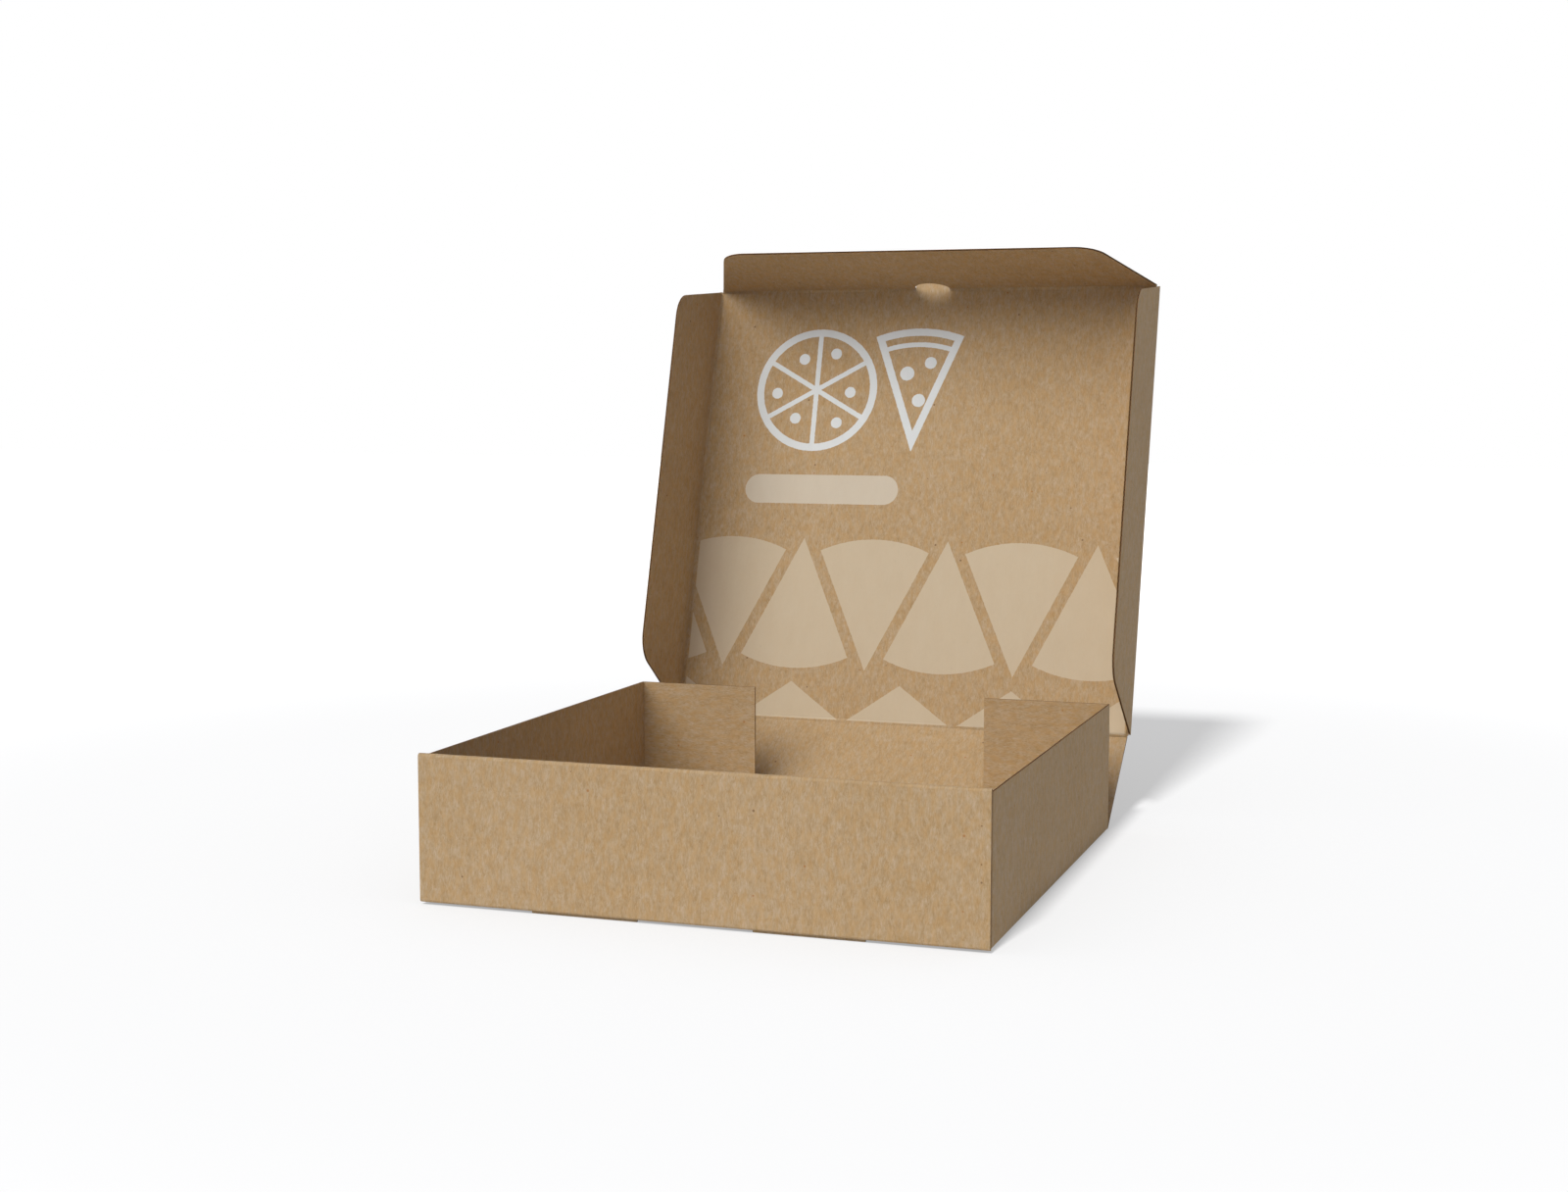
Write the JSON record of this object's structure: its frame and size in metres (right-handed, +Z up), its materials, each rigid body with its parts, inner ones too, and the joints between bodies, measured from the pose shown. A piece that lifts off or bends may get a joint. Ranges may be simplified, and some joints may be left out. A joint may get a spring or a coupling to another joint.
{
  "type": "pizza box",
  "caption": "Open square corrugated pizza box with a rolled double front wall, a raised lid with rounded side flaps and a tuck flap with a half-moon finger tab.",
  "frame": {"origin": "on the table under the middle of the tray's footprint, level with the ends of the front lock tabs", "axes": "+Z up, -Y towards the front wall, +X to the right seen from the front"},
  "size_m": [0.3116, 0.4597, 0.3601],
  "materials": {
    "kraft_board": "matte"
  },
  "bodies": {
    "tray": {"tray": "kraft_board"},
    "rear_wall": {"rear_wall": "kraft_board"},
    "lid": {"lid": "kraft_board"},
    "tuck_flap": {"tuck_flap": "kraft_board"},
    "left_flap": {"side_flap_left": "kraft_board"},
    "right_flap": {"side_flap_right": "kraft_board"}
  },
  "joints": [
    {"name": "rear_wall_fold", "type": "hinge", "parent": "tray", "child": "rear_wall", "pos_m": [0, 0.1528, 0.002], "axis": [1, 0, 0], "range_deg": [-36.4, 53.6]},
    {"name": "lid_fold", "type": "hinge", "parent": "rear_wall", "child": "lid", "pos_m": [0, 0.21695, 0.04929], "axis": [1, 0, 0], "range_deg": [-37.15, 52.85]},
    {"name": "tuck_flap_fold", "type": "hinge", "parent": "lid", "child": "tuck_flap", "pos_m": [0, 0.3023, 0.33836], "axis": [1, 0, 0], "range_deg": [-90.5, 29.5]},
    {"name": "left_flap_fold", "type": "hinge", "parent": "lid", "child": "left_flap", "pos_m": [-0.1552, 0.21695, 0.04929], "axis": [0, -0.2832, -0.9591], "range_deg": [0, 90]},
    {"name": "right_flap_fold", "type": "hinge", "parent": "lid", "child": "right_flap", "pos_m": [0.1552, 0.21695, 0.04929], "axis": [0, 0.2832, 0.9591], "range_deg": [0, 90]}
  ]
}
